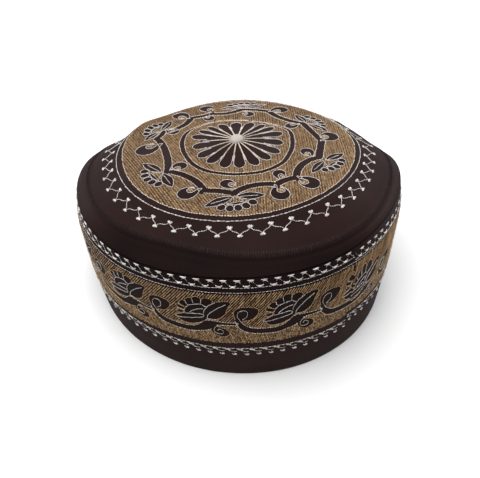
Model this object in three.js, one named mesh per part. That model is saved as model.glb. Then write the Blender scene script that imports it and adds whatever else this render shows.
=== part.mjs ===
import * as THREE from "three";

// An embroidered prayer cap that stands on its rim: a side wall sewn to a domed round top,
// a field of raised thread on each, and a white thread knot at the middle of the top.
// Millimetres, +Z up, -Y towards the front. Angles run from +X towards +Y.

// Outer form of the cap before it settles, as heights above the rim and radii.
const wall_rows = [
  { height: 0, radius: 89.8 },
  { height: 16, radius: 91.5 },
  { height: 32, radius: 92.7 },
  { height: 56, radius: 93.5 },
  { height: 70.3, radius: 91.6 },
];
const crown_rows = [
  { height: 70.3, radius: 91.6 },
  { height: 71.9, radius: 89.9 },
  { height: 74.4, radius: 86 },
  { height: 78.4, radius: 80 },
  { height: 82.3, radius: 72 },
  { height: 86.4, radius: 64.8 },
  { height: 88.5, radius: 48 },
  { height: 89.3, radius: 31.7 },
  { height: 90.2, radius: 20 },
  { height: 91.3, radius: 10 },
  { height: 91.9, radius: 0 },
];
const seam_height = 70.3;
const shoulder_radius = 92;

// Cloth, thread and the clearance between pieces that lie on each other.
const wall_thickness = 2.2;
const crown_thickness = 2;
const thread_thickness = 0.6;
const clearance = 0.3;

// Fields of thread: the round medallion on the top and the frieze around the wall.
const medallion_radius = 64.8;
const frieze_bottom = 27.2;
const frieze_top = 61.8;

// White thread knot over the centre.
const knot_radius = 4.4;
const knot_height = 2.4;

// How the soft cap settles: its top leans and tilts, and its back slumps outwards.
const top_lean = { x: -3.8, y: 0.6 };
const top_tilt = { x: 0.057, y: -0.083 };
const back_bulge = 3;
const back_bulge_start = 0.35;
// Rise and fall of the shoulder, as waves around the cap.
const shoulder_waves = [
  { count: 2, cosine: 1.5, sine: -0.7 },
  { count: 3, cosine: 0.1, sine: -2.2 },
  { count: 4, cosine: 2, sine: -0.6 },
];
// Moves the middle of the settled outline onto the origin.
const plan_shift = { x: 2.73, y: -1.69 };

const sectors = 60;
const wall_heights = [0, 9, 18, frieze_bottom, 36, 44.5, 53, frieze_top, 66, seam_height - clearance];

const cloth_material = () => {
  return new THREE.MeshStandardMaterial({ color: 0x33262a, roughness: 0.85, metalness: 0 });
};
const thread_material = () => {
  return new THREE.MeshStandardMaterial({ color: 0xa5804f, roughness: 0.6, metalness: 0 });
};
const white_material = () => {
  return new THREE.MeshStandardMaterial({ color: 0xe4dcd2, roughness: 0.5, metalness: 0 });
};

// A smooth curve through the rows, as points (radius, height).
function smooth_curve(rows) {
  const points = rows.map((row) => new THREE.Vector3(row.radius, row.height, 0));
  return new THREE.CatmullRomCurve3(points, false, "centripetal");
}

// The wall's outer point at a given height, found by halving along the curve.
function wall_point(height) {
  const curve = smooth_curve(wall_rows);
  const halvings = 40;
  let low = 0;
  let high = 1;
  for (let i = 0; i < halvings; i += 1) {
    const middle = (low + high) / 2;
    if (curve.getPoint(middle).y < height) {
      low = middle;
    } else {
      high = middle;
    }
  }
  return new THREE.Vector2(curve.getPoint(high).x, height);
}

// The crown's outer points from the seam to the axis.
function crown_points() {
  return crown_rows.map((row) => new THREE.Vector2(row.radius, row.height));
}

// The points pushed along their outward normals; the last one stays on the axis if it starts there.
function offset_points(points, distance) {
  return points.map((point, i) => {
    const before = points[Math.max(i - 1, 0)];
    const after = points[Math.min(i + 1, points.length - 1)];
    const along = after.clone().sub(before).normalize();
    const outward = new THREE.Vector2(along.y, -along.x);
    const moved = point.clone().addScaledVector(outward, distance);
    if (point.x === 0) {
      moved.x = 0;
    }
    return moved;
  });
}

// Height that the waves add at the shoulder, at an angle around the cap.
function shoulder_wave(angle) {
  return shoulder_waves.reduce((sum, wave) => {
    const turn = wave.count * angle;
    return sum + wave.cosine * Math.cos(turn) + wave.sine * Math.sin(turn);
  }, 0);
}

// Gives a turned form the lean, tilt, waves and slump of the soft cap.
function settle(geometry) {
  const position = geometry.getAttribute("position");
  for (let i = 0; i < position.count; i += 1) {
    const x = position.getX(i);
    const y = position.getY(i);
    const z = position.getZ(i);
    const radius = Math.hypot(x, y);
    const angle = Math.atan2(y, x);
    const rise = THREE.MathUtils.clamp(z / seam_height, 0, 1);
    const outward = THREE.MathUtils.clamp(
      (radius - medallion_radius) / (shoulder_radius - medallion_radius), 0, 1);
    const behind = Math.max(0, Math.sin(angle) - back_bulge_start) / (1 - back_bulge_start);
    const bulge = back_bulge * behind ** 2 * Math.sin(Math.PI * rise);
    position.setXYZ(
      i,
      x + bulge * Math.cos(angle) + top_lean.x * rise + plan_shift.x,
      y + bulge * Math.sin(angle) + top_lean.y * rise + plan_shift.y,
      z + rise * (top_tilt.x * x + top_tilt.y * y) + rise ** 2 * outward * shoulder_wave(angle),
    );
  }
  geometry.computeVertexNormals();
  return geometry;
}

// Turns a closed profile around the upright axis and settles it.
function turned(profile) {
  const geometry = new THREE.LatheGeometry(profile, sectors);
  geometry.rotateX(Math.PI / 2);
  return settle(geometry);
}

// The wall is a closed loop of cloth: up its outside, over the seam edge and down its inside.
function side_wall() {
  const outside = wall_heights.map(wall_point);
  const inside = outside.map((point) => new THREE.Vector2(point.x - wall_thickness, point.y));
  return turned([...outside, ...inside.reverse(), outside[0]]);
}

// The round top: its outside from the seam edge to the axis, and back along its inside.
function crown_panel() {
  const outside = crown_points();
  const inside = offset_points(outside, -crown_thickness);
  inside[0].set(outside[0].x - wall_thickness, outside[0].y);
  inside[1].y = Math.max(inside[1].y, inside[0].y + clearance);
  return turned([...outside, ...inside.reverse(), outside[0]]);
}

// The medallion of thread lies on the top, inside its own radius.
function crown_medallion() {
  const on_cloth = crown_points().filter((point) => point.x <= medallion_radius);
  const underside = offset_points(on_cloth, clearance);
  const face = offset_points(on_cloth, clearance + thread_thickness);
  return turned([...underside.reverse(), ...face]);
}

// The frieze of thread lies around the wall between its two borders.
function wall_frieze() {
  const heights = wall_heights.filter((height) => height >= frieze_bottom && height <= frieze_top);
  const on_cloth = heights.map(wall_point);
  const underside = on_cloth.map((point) => new THREE.Vector2(point.x + clearance, point.y));
  const face = underside.map((point) => new THREE.Vector2(point.x + thread_thickness, point.y));
  return turned([...face, ...underside.reverse(), face[0]]);
}

// The knot is a low round boss that stands on the medallion.
function centre_knot() {
  const sides = 16;
  const rings = 5;
  const crown_top = crown_rows[crown_rows.length - 1].height;
  const base = crown_top + clearance + thread_thickness + clearance;
  const profile = [new THREE.Vector2(0, 0)];
  for (let i = 0; i < rings; i += 1) {
    const turn = (Math.PI / 2) * (i / rings);
    profile.push(new THREE.Vector2(knot_radius * Math.cos(turn), knot_height * Math.sin(turn)));
  }
  profile.push(new THREE.Vector2(0, knot_height));
  const geometry = new THREE.LatheGeometry(profile, sides);
  geometry.rotateX(Math.PI / 2);
  geometry.translate(0, 0, base);
  return settle(geometry);
}

function piece(name, geometry, material) {
  const mesh = new THREE.Mesh(geometry, material);
  mesh.name = name;
  return mesh;
}

const group = new THREE.Group();
group.add(piece("side_wall", side_wall(), cloth_material()));
group.add(piece("crown_panel", crown_panel(), cloth_material()));
group.add(piece("crown_medallion", crown_medallion(), thread_material()));
group.add(piece("wall_frieze", wall_frieze(), thread_material()));
group.add(piece("centre_knot", centre_knot(), white_material()));

export default group;
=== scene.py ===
import bpy
import numpy as np
from mathutils import Matrix, Vector

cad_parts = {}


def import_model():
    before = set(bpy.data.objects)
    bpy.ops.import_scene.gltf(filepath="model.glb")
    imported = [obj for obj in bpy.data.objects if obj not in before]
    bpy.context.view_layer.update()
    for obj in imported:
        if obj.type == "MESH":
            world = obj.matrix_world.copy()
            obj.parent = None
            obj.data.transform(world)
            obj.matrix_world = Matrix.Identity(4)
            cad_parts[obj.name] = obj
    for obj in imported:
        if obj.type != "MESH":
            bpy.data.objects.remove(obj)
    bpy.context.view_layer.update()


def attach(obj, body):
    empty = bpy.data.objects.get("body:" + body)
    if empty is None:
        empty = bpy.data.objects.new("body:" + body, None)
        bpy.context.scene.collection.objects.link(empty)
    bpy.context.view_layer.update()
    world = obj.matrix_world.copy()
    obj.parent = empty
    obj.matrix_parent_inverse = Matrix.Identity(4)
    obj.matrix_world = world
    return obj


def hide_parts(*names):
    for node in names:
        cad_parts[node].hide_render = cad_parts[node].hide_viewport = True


# The visual model of an embroidered prayer cap. Charts are in millimetres: the frieze's run along
# the band and above its middle, the medallion's are seen from above. Every stitch is a small body.

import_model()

MM = 0.001
rng = np.random.default_rng(7)

# Outer form before the cap settles: rows of (radius, height).
SEAM_HEIGHT = 70.3
WALL_ROWS = ((89.8, 0), (91.5, 16), (92.7, 32), (93.5, 56), (91.6, SEAM_HEIGHT))
CROWN_ROWS = ((91.6, SEAM_HEIGHT), (89.9, 71.9), (86, 74.4), (80, 78.4), (72, 82.3), (64.8, 86.4),
              (48, 88.5), (31.7, 89.3), (20, 90.4), (10, 91.8), (0, 92.6))
WALL_THICKNESS = 2.2
CROWN_THICKNESS = 2.0

# How the cap settles: lean, tilt, slump at the back, and waves (count, cosine, sine) of the shoulder.
TOP_LEAN = (-3.8, 0.6)
TOP_TILT = (0.057, -0.083)
BACK_BULGE = 3.0
BACK_BULGE_START = 0.35
SHOULDER_WAVES = ((2, 1.5, -0.7), (3, 0.1, -2.2), (4, 2.0, -0.6))
SHOULDER_START = 64.8
SHOULDER_RADIUS = 92.0
# Dips of the shoulder (degrees, spread, height), and swells of the top (also radius and its spread).
SHOULDER_DIPS = ((148.5, 13, -3.3), (19, 9, -1.9))
CROWN_SWELLS = ((154, 13, 66, 8, 3.1), (39, 8, 79, 8, 1.9), (92, 24, 76, 12, 0.8))
PLAN_SHIFT = (2.73, -1.69)
# Fold of the shoulder's seam, and its ridges and groove: distance beyond the fold, spread, height.
FOLD_RADIUS = 85.8
FOLD_PULL = 5.2
FOLD_RIPPLES = 7
FOLD_RIPPLE = 0.3
FOLD_RIDGES = ((0.0, 1.25, 0.70), (2.3, 0.8, -0.40), (4.2, 1.1, 0.30))

# Medallion on the top. Its rim: angle, radius of the tan field, radius of the white line around it.
RIM_ROWS = (
    (-170, 64.5, 68.1), (-158, 64.1, 67.7), (-145, 64.3, 67.7), (-130, 64.8, 67.8), (-110, 65.1, 68),
    (-90, 64.9, 67.6), (-75, 64.4, 67.1), (-60, 63.7, 66.3), (-45, 63.5, 66.1), (-30, 64, 66.5),
    (-15, 64.6, 67.4), (-5, 65, 68.2), (4, 65.8, 69), (12, 66.2, 69.6), (24, 65.8, 68.6), (40, 65, 67.6),
    (65, 64.5, 67.2), (90, 64.3, 67.1), (115, 64.4, 67.2), (140, 65, 67.8), (155, 66, 69),
    (167, 67.2, 70.2), (176, 66.2, 69.3))
# Its fill: half the chart's size, where the rows turn, their angles at the left and the right, and
# the stitches' length, pitch, width, height, painted row shade and noise. It is painted darker at the
# back and left, as painted shade.
MEDALLION_REACH = 67.4
FILL_TURNS_AT = -8.0
FILL_DEGREES = (119, 92)
MEDALLION_FILL = (2.6, 0.69, 0.76, 0.45, 0.5, 0.17)
FILL_PAINTED_SHADE = 0.14
FILL_PAINTED_SHADE_WAY = 45
# The vine's half width, the boss in the middle and the petals around it.
VINE_HALF = 2.2
KNOT_CENTRE = (-0.8, 0.9)
KNOT_RADIUS = 4.1
KNOT_HEIGHT = 2.9
PETAL_START = 4.4
PETAL_WIDEST = 0.76
PETAL_FOOT = 0.4
PETAL_GAP = 0.32
PETAL_HALVES = (1.5, 3.9)
CORD_PITCH = 0.86
CORD_WIDTH = 0.48

# The ring around the rosette: degrees, radius and half width.
RING_ROWS = (
    (-90, 31.6, 1.4), (-65, 32.1, 1.4), (-40, 31.6, 1.4), (-15, 30.2, 1.5), (5, 30.8, 1.5),
    (28, 33.6, 1.2), (45, 32.2, 0.7), (65, 30.8, 0.5), (88, 30.8, 0.5), (113, 33.2, 0.5), (135, 34, 0.6),
    (152, 34.4, 1.2), (170, 32.4, 1.5), (188, 30.8, 1.5), (205, 30.5, 1.4), (222, 31.2, 1.4),
    (240, 31.8, 1.4), (255, 31.4, 1.4))
# Tips of the rosette's petals, anticlockwise from the front.
PETAL_TIPS = (
    (1.4, -26.3), (10.8, -23.8), (17.7, -18), (23.2, -10.7), (25.8, 1), (25.6, 13.8), (20.5, 21.4),
    (15.6, 24.6), (8.2, 27.4), (-1.6, 28), (-11.5, 25.8), (-18.2, 23.3), (-23.2, 19), (-26.9, 12),
    (-25.7, -2.2), (-21.7, -14), (-15.9, -20.5), (-7, -25.7))
# Vine corners around the medallion, and how far the line to the next one bows towards the centre.
VINE_CORNERS = (
    (-1, -48.6, 3.4), (20.4, -41.6, 1.4), (31.3, -35.2, 4.1), (43.9, -14.9, 0), (47.3, 4, 0.1),
    (38.2, 26.4, 2.9), (18.7, 43.9, -0.9), (0.8, 47.5, 2.8), (-16.8, 42.3, 0.9), (-30, 37.4, 4.2),
    (-44, 20, 0), (-47.3, 11.2, 2.6), (-37, -26.7, 3.7), (-16.6, -45.6, 0.8))
# Curls: middle x and y, radius, radius of the eye, the way to the stem, and the side of the eye.
CURLS = (
    (-24.9, -46.9, 4.8, 2.1, 24, 1), (22.1, -48.8, 4.8, 1.9, 110, -1), (37.7, -39, 5, 2.1, 140, 1),
    (52.6, 10.6, 5.1, 2.2, 226, -1), (25.6, 47.6, 4.9, 2.1, 205, 1), (-20.7, 51.9, 4.6, 1.9, -70, 1),
    (-36.7, 42.5, 5, 2, -40, -1), (-51.8, -1.2, 6.1, 2.5, 34, 1), (-4.8, -39.8, 3.8, 1.6, -50, 1),
    (22, -30.8, 3.5, 1.5, -95, 1), (38, -8.3, 3.8, 1.6, -60, -1), (30.9, 23, 3.6, 1.5, 30, 1),
    (5.8, 40.2, 3.5, 1.4, 120, 1), (-18.3, 35.3, 3.4, 1.4, 90, 1), (-38.4, 19.1, 3.6, 1.5, 150, -1),
    (-30.5, -21.2, 3.9, 1.6, 215, 1))
# Flowers: cusp x and y, how far the flower leans from straight out, and its size.
FLOWERS = ((-0.8, -49.3, 14, 1), (45.6, -16.4, -25, 0.92), (39.6, 26.2, 2, 0.94), (2.4, 49.1, 12, 0.94),
           (-44.4, 20.4, -6, 0.9), (-38.1, -26.3, 0, 1))
# Stitches of the lines: step, width and height.
PETAL_LINE = (1.3, 0.44, 0.5)
CURL_LINE = (1.2, 0.44, 0.45)
SPIRAL_LINE = (1.0, 0.3, 0.4)
FLOWER_LINE = (1.2, 0.38, 0.42)
RIB_LINE = (1.3, 0.38, 0.42)
RIM_LINE = (2.2, 0.46, 0.4)
FIELD_EDGE = (1.4, 0.6, 0.45)
BAND_EDGE = (1.3, 0.5, 0.6)
FRIEZE_LINE = (1.2, 0.29, 0.34)
FRIEZE_SPIRAL = (1.1, 0.2, 0.3)
SEPAL_LINE = (1.25, 0.34, 0.4)
MOTIF_EDGE = (1.3, 0.46, 0.45)
STRIP_END_LINE = (2.4, 0.6, 0.4)
# How far the fill keeps from a motif, from the ring and from the vine.
MOTIF_GAP = 0.22
RING_GAP = 0.25
VINE_GAP = 0.2
# The petals' outlines start this far from the boss's middle, where the cords end, and no fill lies
# within this share of the petals' length.
PETAL_LINE_START = 16
PETAL_COVER = 0.8

# Zigzag around the medallion: where its knots crowd (turn, spread, degrees), how its outer ones draw
# in at the front, and where knots stand further out (angle, spread, distance).
CROWN_ZIGZAGS = 43
CROWN_ZIGZAG_START = -88.0
ZIGZAG_PULLS = ((4.6, 1.9, 2.3), (10.5, 2.6, -4.0))
OUTER_KNOT_RADIUS = 75.7
OUTER_KNOT_DRAW = 2.3
OUTER_KNOT_DRAW_AT = -58
OUTER_KNOT_SHIFTS = ((12, 12, 3.6), (172, 10, 3.1))
INNER_KNOT_RADIUS = 70.4
INNER_KNOT_SHIFTS = ((-122, 20, 1.1), (-62, 22, -0.9), (12, 12, 2.6), (171, 16, 2.2))
ZIGZAG_SWAY = 0.07
ZIGZAG_WIDTH = 0.44

# Frieze around the wall. Its fills: angle, length, pitch, width, height, painted row shade and noise,
# and the height between them. Repeats are counted from one curled leaf.
FRIEZE_MIDDLE = 44.6
FRIEZE_BOTTOM = -17.2
FRIEZE_TOP = 17.2
FRIEZE_PITCH = 43.8
FRIEZE_REPEATS = (-14, 1)
FRIEZE_SPLIT = -4.5
UPPER_FILL = (52, 5.2, 1.1, 0.68, 0.5, 0.0, 0.16)
LOWER_FILL = (104, 1.35, 0.85, 0.80, 0.42, 0.0, 0.32)
FRIEZE_GAP = 0.45
BAND_RADIUS = 93.0
# Place of the strip around the wall, by repeats and degrees.
STRIP_REPEATS = (-12.76, -12.5, -12.1, -11, -9, -3, 0, 0.336)
STRIP_DEGREES = (-410.4, -404.7, -394.9, -363.2, -306.6, -140.8, -59.5, -50.4)
# Near its first end the pattern hangs lower, by its height over the middle, and less from repeat to
# repeat; the upper border has a drop of its own.
STRIP_DROP_HEIGHTS = (-17.2, -6, 0, 12, 17.2, 20.5)
STRIP_DROPS = (-1.8, 1.5, 3.2, 4.4, -0.1, 1.7)
STRIP_DROP_REPEATS = (-12, -9)
BORDER_DROP_REPEATS = (-12.5, -11.6, -9.5)
BORDER_DROPS = (0.0, 2.0, 0.0)
BORDER_RISE = 3
# Borders along the strip: their repeat, how far the lower one sags, and the repeats where that starts
# and how fast it grows; then the dashed lines (height, step, width, overlap).
BORDER_PITCH = 6.47
BORDER_SAG = 1.3
BORDER_SAG_FROM = -2.6
BORDER_SAG_WAY = 1.4
BORDER_LINES = ((20.6, 1.7, 0.18, -0.1), (17.9, 1.7, 0.12, -0.2), (-20.0, 2.4, 0.36, -0.2))
BORDER_LINE_HEIGHT = 0.36
# Stitches over the shoulder's fold, and how far the strip's end stitches reach past the band.
TOPSTITCHES = 430
TOPSTITCH_HALF = 1.3
TOPSTITCH_WIDTH = 0.55
STRIP_END_REACH = 8

# Camera at the photograph's angle: 42 degrees up, facing the front and rolled a little.
CAMERA_ELEVATION = 42.0
CAMERA_DISTANCE = 0.380
CAMERA_ROLL = 0.027
CAMERA_AIM = (1.511, -1.69, 19.129)
SENSOR_WIDTH = 36
LENS_PIXELS = 592.99
PHOTO_WIDTH = 480


# Lines and outlines.
def smooth_line(points, steps=8, closed=False):
    """Curve through the points: each span is a cubic whose end slopes are half the step between
    the neighbours on both sides, at equal steps of its own way."""
    p = np.asarray(points, float)
    p = np.vstack([p[-1], p, p[0], p[1]] if closed else [2 * p[0] - p[1], p, 2 * p[-1] - p[-2]])
    t = (np.arange(steps) / steps)[None, :, None]
    a, b, c, d = (p[k:len(p) - 3 + k, None, :] for k in range(4))
    q = 0.5 * (2 * b + (c - a) * t + (2 * a - 5 * b + 4 * c - d) * t ** 2
               + (3 * b - a - 3 * c + d) * t ** 3)
    q = q.reshape(-1, p.shape[1])
    return q if closed else np.vstack([q, p[-2]])


def smooth_loop(points):
    """The same curve through the points and back to the first one."""
    return smooth_line(points, closed=True)


def sides(line, closed):
    """Unit vectors to the left of a line at each of its points."""
    if closed:
        along = np.roll(line, -1, axis=0) - np.roll(line, 1, axis=0)
    else:
        along = np.gradient(line, axis=0)
    along /= np.linalg.norm(along, axis=1, keepdims=True) + 1e-9
    return np.column_stack([-along[:, 1], along[:, 0]])


def ribbon(points, steps=6):
    """Outline of a band: its middle line's points with half widths, pushed out to both sides."""
    row = smooth_line(points, steps)
    line, half = row[:, :2], row[:, 2:3]
    side = sides(line, False) * half
    return np.vstack([line + side, (line - side)[::-1]])


def leaf(base, tip, left, right, steps=12):
    """Pointed leaf: both edges swell from base to tip as the sine of the way along."""
    base, tip = np.asarray(base, float), np.asarray(tip, float)
    t = np.linspace(0, 1, steps + 1)[:, None]
    along = tip - base
    side = np.array([-along[1], along[0]]) / np.linalg.norm(along)
    swell = np.sin(np.pi * t ** 0.9) * side
    line = base + along * t
    return np.vstack([line + swell * left, (line - swell * right)[::-1][1:-1]])


def oval(centre, long_half, short_half, turn=0.0, steps=16):
    """Ellipse about its middle, turned by an angle in degrees."""
    a = np.linspace(0, 2 * np.pi, steps, endpoint=False)
    x, y = long_half * np.cos(a), short_half * np.sin(a)
    return turned(np.column_stack([x, y]), turn) + centre


def turned(points, degrees):
    """Points turned about the origin."""
    c, s = np.cos(np.radians(degrees)), np.sin(np.radians(degrees))
    return np.asarray(points, float) @ np.array([[c, s], [-s, c]])


def polar(radius, degrees):
    """Points at a radius and an angle."""
    a = np.radians(degrees)
    return np.stack([radius * np.cos(a), radius * np.sin(a)], axis=-1)


def grown(loop, distance):
    """A closed outline pushed outwards along its normals, whichever way round it runs."""
    x, y = loop[:, 0], loop[:, 1]
    area = np.sum(x * np.roll(y, -1) - np.roll(x, -1) * y)
    return loop - sides(loop, True) * distance * np.sign(area)


def inside(points, loop):
    """Even-odd test of points (n, 2) against a closed outline."""
    a, b = loop, np.roll(loop, -1, axis=0)
    low, high = loop.min(axis=0), loop.max(axis=0)
    boxed = np.all((points >= low) & (points <= high), axis=1)
    out = np.zeros(len(points), bool)
    p = points[boxed]
    x, y = p[:, 0:1], p[:, 1:2]
    crosses = (a[:, 1] > y) != (b[:, 1] > y)
    rise = b[:, 1] - a[:, 1]
    rise = np.where(np.abs(rise) < 1e-9, 1e-9, rise)
    at = a[:, 0] + (y - a[:, 1]) / rise * (b[:, 0] - a[:, 0])
    out[boxed] = np.sum(crosses & (x < at), axis=1) % 2 == 1
    return out


# The cap's surface.
def bell(away, spread):
    """1 in the middle, falling off to both sides of it."""
    return np.exp(-(away / spread) ** 2)


def angle_from(degrees, middle):
    """Signed angle from one direction to the others, from -180 to 180."""
    return (degrees - middle + 180) % 360 - 180


def near(degrees, middle, spread):
    """A bell round the cap: 1 at an angle, falling off to both sides of it."""
    return bell(angle_from(degrees, middle), spread)


def settle(x, y, z):
    """Turned form to settled cap, in metres: the top leans and tilts in step with the height, waves
    lift the shoulder, and the back slumps outwards at mid height."""
    radius = np.hypot(x, y)
    angle = np.arctan2(y, x)
    rise = np.clip(z / SEAM_HEIGHT, 0, 1)
    outward = np.clip((radius - SHOULDER_START) / (SHOULDER_RADIUS - SHOULDER_START), 0, 1)
    behind = np.maximum(0, np.sin(angle) - BACK_BULGE_START) / (1 - BACK_BULGE_START)
    bulge = BACK_BULGE * behind ** 2 * np.sin(np.pi * rise)
    wave = sum(c * np.cos(n * angle) + s * np.sin(n * angle) for n, c, s in SHOULDER_WAVES)
    wave = wave + sum(height * near(np.degrees(angle), middle, spread)
                      for middle, spread, height in SHOULDER_DIPS)
    return MM * np.stack([
        x + bulge * np.cos(angle) + TOP_LEAN[0] * rise + PLAN_SHIFT[0],
        y + bulge * np.sin(angle) + TOP_LEAN[1] * rise + PLAN_SHIFT[1],
        z + rise * (TOP_TILT[0] * x + TOP_TILT[1] * y) + rise ** 2 * outward * wave], axis=-1)


WALL_CURVE = smooth_line(WALL_ROWS, 12)
CROWN_CURVE = smooth_line(CROWN_ROWS, 12)[::-1]
CROWN_SLOPE = np.gradient(CROWN_CURVE[:, 1], CROWN_CURVE[:, 0])


def wall_radius(height):
    """Radius of the turned wall at a height."""
    return np.interp(height, WALL_CURVE[:, 1], WALL_CURVE[:, 0])


def crown_height(radius):
    """Height of the turned top at a radius."""
    return np.interp(radius, CROWN_CURVE[:, 0], CROWN_CURVE[:, 1])


def on_wall(degrees, height, lift):
    """Point on the wall at an angle, an unsettled height and a lift off the cloth."""
    radius = wall_radius(height) + lift
    a = np.radians(degrees)
    return settle(radius * np.cos(a), radius * np.sin(a), height + 0 * radius)


def fold_radius(degrees):
    """Radius of the seam's fold round the shoulder: nearest to the middle at the left of the front."""
    ripple = FOLD_RIPPLE * np.sin(np.radians(FOLD_RIPPLES * degrees))
    return FOLD_RADIUS - FOLD_PULL * near(degrees, -112, 40) + ripple


def crown_relief(radius, degrees):
    """Height over the plain turned form: at the shoulder's fold a round ridge, a groove and a lower
    ridge, and wide bells where the top swells."""
    off = radius - fold_radius(degrees)
    height = sum(rise * bell(off - at, spread) for at, spread, rise in FOLD_RIDGES)
    for middle, spread, centre, width, swell in CROWN_SWELLS:
        height = height + swell * near(degrees, middle, spread) * bell(radius - centre, width)
    return height


def on_crown(x, y, lift):
    """Point on the round top, seen from above, with a lift off the cloth."""
    radius = np.maximum(np.hypot(x, y), 1e-6)
    z = crown_height(radius) + crown_relief(radius, np.degrees(np.arctan2(y, x)))
    slope = np.interp(radius, CROWN_CURVE[:, 0], CROWN_SLOPE)
    up = 1 / np.sqrt(1 + slope ** 2)
    out = -slope * up
    return settle(x * (1 + lift * out / radius), y * (1 + lift * out / radius), z + lift * up)


def strip_drop(repeat, v):
    """How much lower the strip's pattern lies near its first end, by height over its middle."""
    fade = np.interp(repeat, STRIP_DROP_REPEATS, (1, 0))
    above = np.clip((v - FRIEZE_TOP) / BORDER_RISE, 0, 1)
    border = np.interp(repeat, BORDER_DROP_REPEATS, BORDER_DROPS) * above
    return fade * np.interp(v, STRIP_DROP_HEIGHTS, STRIP_DROPS) + border


def on_frieze(u, v, lift):
    """Point on the wall from the strip's chart."""
    repeat = u / FRIEZE_PITCH
    degrees = np.interp(repeat, STRIP_REPEATS, STRIP_DEGREES)
    return on_wall(degrees, FRIEZE_MIDDLE + v - strip_drop(repeat, v), lift)


STRIP_START = STRIP_REPEATS[0] * FRIEZE_PITCH
STRIP_END = STRIP_REPEATS[-1] * FRIEZE_PITCH


# Meshes.
def linked(name, data):
    """A new object in the scene."""
    thing = bpy.data.objects.new(name, data)
    bpy.context.scene.collection.objects.link(thing)
    return thing


def new_object(name, points, faces, material):
    """A smooth-shaded mesh from arrays: points (n, 3) in metres, faces (m, 3) or (m, 4)."""
    mesh = bpy.data.meshes.new(name)
    mesh.vertices.add(len(points))
    mesh.vertices.foreach_set("co", np.ascontiguousarray(points, dtype=np.float32).ravel())
    corners = faces.shape[1]
    mesh.loops.add(faces.size)
    mesh.loops.foreach_set("vertex_index", np.ascontiguousarray(faces, dtype=np.int32).ravel())
    mesh.polygons.add(len(faces))
    mesh.polygons.foreach_set("loop_start", np.arange(0, faces.size, corners, dtype=np.int32))
    mesh.polygons.foreach_set("use_smooth", np.ones(len(faces), bool))
    mesh.update(calc_edges=True)
    mesh.validate()
    piece = linked(name, mesh)
    mesh.materials.append(material)
    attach(piece, "root")
    return piece


def add_vectors(piece, name, values):
    """A vector for each vertex, which materials read by its name."""
    layer = piece.data.attributes.new(name, "FLOAT_VECTOR", "POINT")
    layer.data.foreach_set("vector", np.ascontiguousarray(values, dtype=np.float32).ravel())


# A stitch: way along, share of the half width, and share of the height of its 14 points.
STITCH_WAY = np.array([0] + [0.14] * 4 + [0.5] * 4 + [0.86] * 4 + [1.0])
STITCH_SIDE = np.array([0, 0.74, 0, -0.74, 0, 1, 0, -1, 0, 0.74, 0, -0.74, 0, 0])
STITCH_LIFT = np.array([0.1, 0.3, 0.78, 0.3, -0.1, 0.36, 1, 0.36, -0.1, 0.3, 0.78, 0.3, -0.1, 0.1])
STITCH_POINTS = len(STITCH_WAY)


def stitch_faces():
    """Triangles of one stitch, outward: a fan at each end and two belts between the rings."""
    ring = np.arange(4)
    after = (ring + 1) % 4
    start = np.column_stack([0 * ring, 1 + after, 1 + ring])
    end = np.column_stack([STITCH_POINTS - 1 + 0 * ring, 9 + ring, 9 + after])
    belts = []
    for first in (1, 5):
        a, b, c, d = first + ring, first + after, first + 4 + after, first + 4 + ring
        belts += [np.column_stack([a, b, c]), np.column_stack([a, c, d])]
    return np.vstack([start, *belts, end])


STITCH_FACES = stitch_faces()


def stitches(name, rows, place, material):
    """Stitches over the cloth. Rows are start x, start y, end x, end y, width and height. Each is a
    spindle: its points go from end to end, out to both sides by the half width and up by the height,
    and the chart's own function carries them onto the cap. A seventh number is the thread's tone."""
    rows = np.asarray(rows, float)
    start, end = rows[:, None, 0:2], rows[:, None, 2:4]
    along = end - start
    length = np.linalg.norm(along, axis=2, keepdims=True) + 1e-9
    side = np.stack([-along[..., 1], along[..., 0]], axis=-1) / length
    way, across = STITCH_WAY[None, :, None], STITCH_SIDE[None, :, None]
    chart = start + along * way + side * across * rows[:, None, 4:5] / 2
    lift = rows[:, 5:6] * STITCH_LIFT[None, :]
    points = place(chart[..., 0], chart[..., 1], lift)
    count = len(rows)
    faces = STITCH_FACES[None] + STITCH_POINTS * np.arange(count)[:, None, None]
    piece = new_object(name, points.reshape(-1, 3), faces.reshape(-1, 3), material)
    tone = rows[:, 6] if rows.shape[1] > 6 else rng.random(count)
    tone = np.repeat(tone[:, None], STITCH_POINTS, axis=1)
    run = length[..., 0] * STITCH_WAY[None, :]
    add_vectors(piece, "thread", np.stack([run, 0 * run + STITCH_SIDE, tone], axis=-1).reshape(-1, 3))
    return piece


def along_line(line, step, width, height, closed=False, overlap=0.25, wobble=0.05):
    """Stitches end to end along a line, each a little longer than the step."""
    line = np.asarray(line, float)
    if closed:
        line = np.vstack([line, line[:1]])
    far = np.concatenate([[0], np.cumsum(np.linalg.norm(np.diff(line, axis=0), axis=1))])
    count = max(1, int(round(far[-1] / step)))
    at = np.linspace(0, far[-1], count + 1)
    p = np.column_stack([np.interp(at, far, line[:, k]) for k in (0, 1)])
    a, b = p[:-1], p[1:]
    d = (b - a) / (np.linalg.norm(b - a, axis=1, keepdims=True) + 1e-9)
    a, b = a - d * overlap / 2, b + d * overlap / 2
    shake = rng.normal(0, wobble, (count, 2))
    size = rng.uniform(0.88, 1.12, (count, 2))
    return np.column_stack([a + shake, b + shake, width * size[:, 0], height * size[:, 1]])


# Fill stitches: shortest one kept, how unevenly rows and ends lie, places tested along each, how
# much of its length one overlaps the next, and how far each row is shifted against the one before.
SHORTEST_STITCH = 0.6
ROW_SHAKE = 0.05
END_SHAKE = 0.12
ROW_NOISE = 0.1
FILL_SAMPLES = 17
FILL_OVERLAP = 1.08
BRICK_SHIFT = 0.38


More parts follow.
